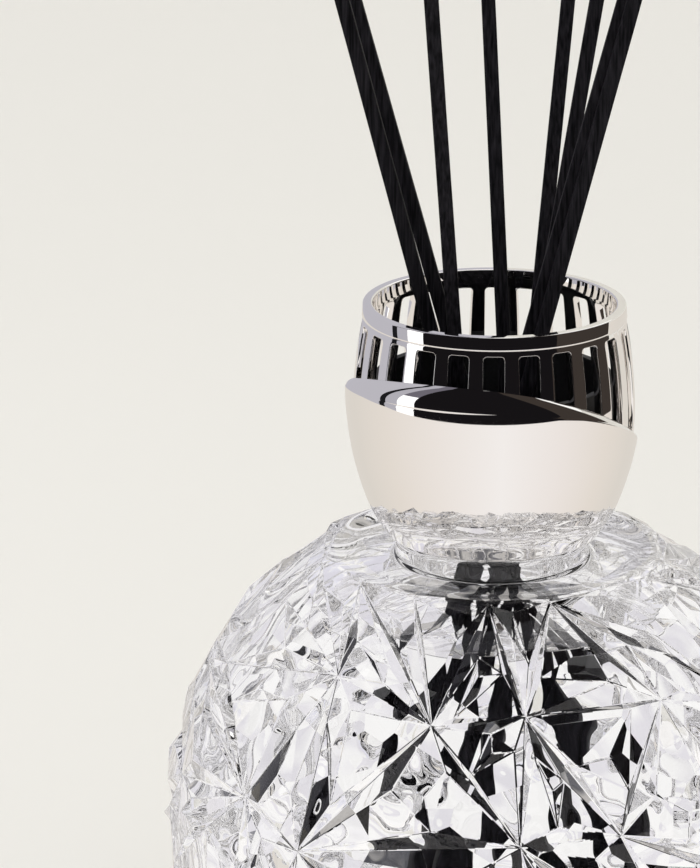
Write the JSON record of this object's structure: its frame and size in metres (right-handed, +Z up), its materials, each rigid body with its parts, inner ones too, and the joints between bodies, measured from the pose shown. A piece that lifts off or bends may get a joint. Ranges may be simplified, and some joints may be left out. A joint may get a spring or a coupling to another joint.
{
  "type": "reed diffuser",
  "caption": "Home fragrance reed diffuser: cut-glass ball bottle with liquid, chromed crown with a wavy lip and a ring of windows, and black square reeds standing in the neck.",
  "frame": {"origin": "middle of the bottle's flat foot, on the bottle's axis", "axes": "+Z up along the bottle's axis, -Y towards the front, where the crown's lip stands high; the lip is lowest towards +X"},
  "size_m": [0.1139, 0.1139, 0.2601],
  "materials": {
    "crystal": "clear, polished, cut all over",
    "liquid": "clear liquid",
    "gasket": "translucent silicone",
    "chrome": "mirror plated",
    "liner": "fine satin",
    "reed": "black-dyed willow, fine grain"
  },
  "bodies": {
    "bottle": {"glass_bottle": "crystal", "fragrance": "liquid", "neck_gasket": "gasket"},
    "crown": {"crown_bowl": "chrome", "crown_gallery": "chrome", "crown_liner": "liner"},
    "stick_1": {"reed_1": "reed"},
    "stick_2": {"reed_2": "reed"},
    "stick_3": {"reed_3": "reed"},
    "stick_4": {"reed_4": "reed"},
    "stick_5": {"reed_5": "reed"},
    "stick_6": {"reed_6": "reed"},
    "stick_7": {"reed_7": "reed"},
    "stick_8": {"reed_8": "reed"}
  },
  "joints": [
    {"name": "crown_lift", "type": "slide", "parent": "bottle", "child": "crown", "axis": [0, 0, 1], "range_m": [0, 0.014]},
    {"name": "reed_1_draw", "type": "slide", "parent": "bottle", "child": "stick_1", "axis": [-0.2533, -0.03, 0.9669], "range_m": [0, 0.16]},
    {"name": "reed_2_draw", "type": "slide", "parent": "bottle", "child": "stick_2", "axis": [-0.2727, 0.0624, 0.9601], "range_m": [0, 0.16]},
    {"name": "reed_3_draw", "type": "slide", "parent": "bottle", "child": "stick_3", "axis": [-0.0665, -0.1966, 0.9782], "range_m": [0, 0.16]},
    {"name": "reed_4_draw", "type": "slide", "parent": "bottle", "child": "stick_4", "axis": [-0.0536, 0.1062, 0.9929], "range_m": [0, 0.16]},
    {"name": "reed_5_draw", "type": "slide", "parent": "bottle", "child": "stick_5", "axis": [0.0884, 0.1688, 0.9817], "range_m": [0, 0.16]},
    {"name": "reed_6_draw", "type": "slide", "parent": "bottle", "child": "stick_6", "axis": [0.1573, 0.0905, 0.9834], "range_m": [0, 0.16]},
    {"name": "reed_7_draw", "type": "slide", "parent": "bottle", "child": "stick_7", "axis": [0.2446, -0.0735, 0.9668], "range_m": [0, 0.16]},
    {"name": "reed_8_draw", "type": "slide", "parent": "bottle", "child": "stick_8", "axis": [0.2401, -0.0726, 0.968], "range_m": [0, 0.16]}
  ]
}
